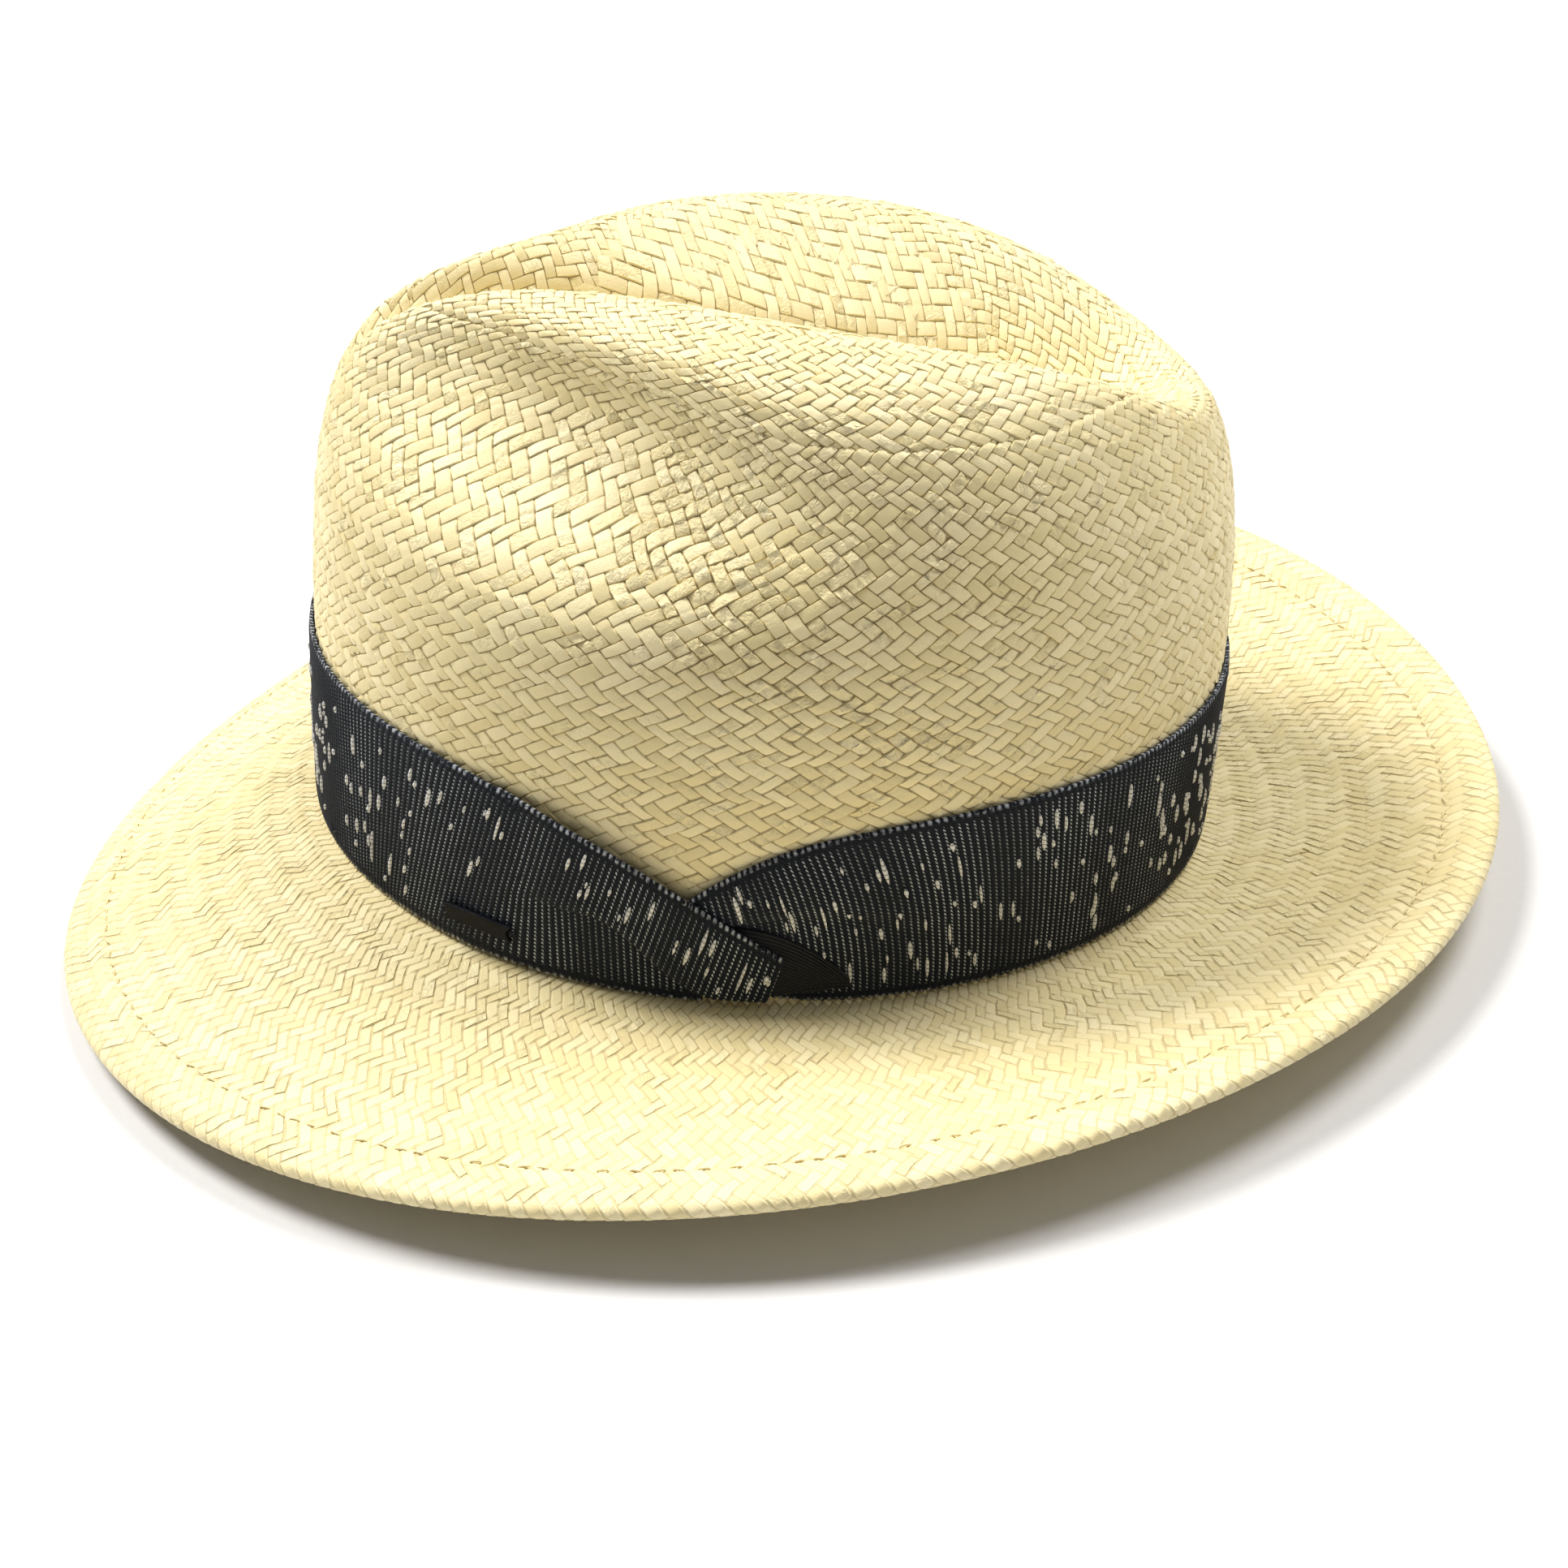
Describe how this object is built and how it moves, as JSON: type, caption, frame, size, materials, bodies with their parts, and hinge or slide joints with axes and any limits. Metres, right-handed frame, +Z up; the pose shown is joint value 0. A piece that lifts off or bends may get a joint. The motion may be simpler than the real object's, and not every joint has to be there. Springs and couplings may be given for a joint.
{
  "type": "fedora hat",
  "caption": "Woven straw fedora with a pinched teardrop crown, snap brim with a wired hem, slub ribbon band with a side knot, and a sweatband inside.",
  "frame": {"origin": "centre of the hat's footprint on the table it stands on", "axes": "+Z up from the table, -Y the front of the hat, +X the wearer's left"},
  "size_m": [0.3142, 0.3336, 0.1429],
  "materials": {
    "straw": "woven paper straw, satin",
    "wire": "drawn",
    "hem_thread": "twisted thread",
    "sweatband_cloth": "twill",
    "reed": "satin",
    "dark_thread": "twisted thread",
    "seam_tape": "woven tape",
    "label_thread": "twisted thread",
    "label_cloth": "satin label cloth",
    "slub_ribbon": "ribbed slub weave",
    "grosgrain": "fine ribbed",
    "badge_metal": "satin"
  },
  "bodies": {
    "hat": {"straw_body": "straw", "brim_wire": "wire", "hem_stitching": "hem_thread", "sweatband": "sweatband_cloth", "sweatband_reed": "reed", "sweatband_stitching": "dark_thread", "sweatband_seam_tape": "seam_tape", "label_thread": "label_thread", "hatband_ribbon": "slub_ribbon", "hatband_front_fold": "slub_ribbon", "hatband_wrap": "grosgrain", "hatband_tacks": "dark_thread", "badge": "badge_metal", "badge_stitches": "dark_thread"},
    "size_label": {"size_label": "label_cloth"}
  },
  "joints": [
    {"name": "label_swing", "type": "hinge", "parent": "hat", "child": "size_label", "pos_m": [0.001, 0.09946, 0.03248], "axis": [0.9986, 0, -0.0523], "range_deg": [-140, 0]}
  ]
}
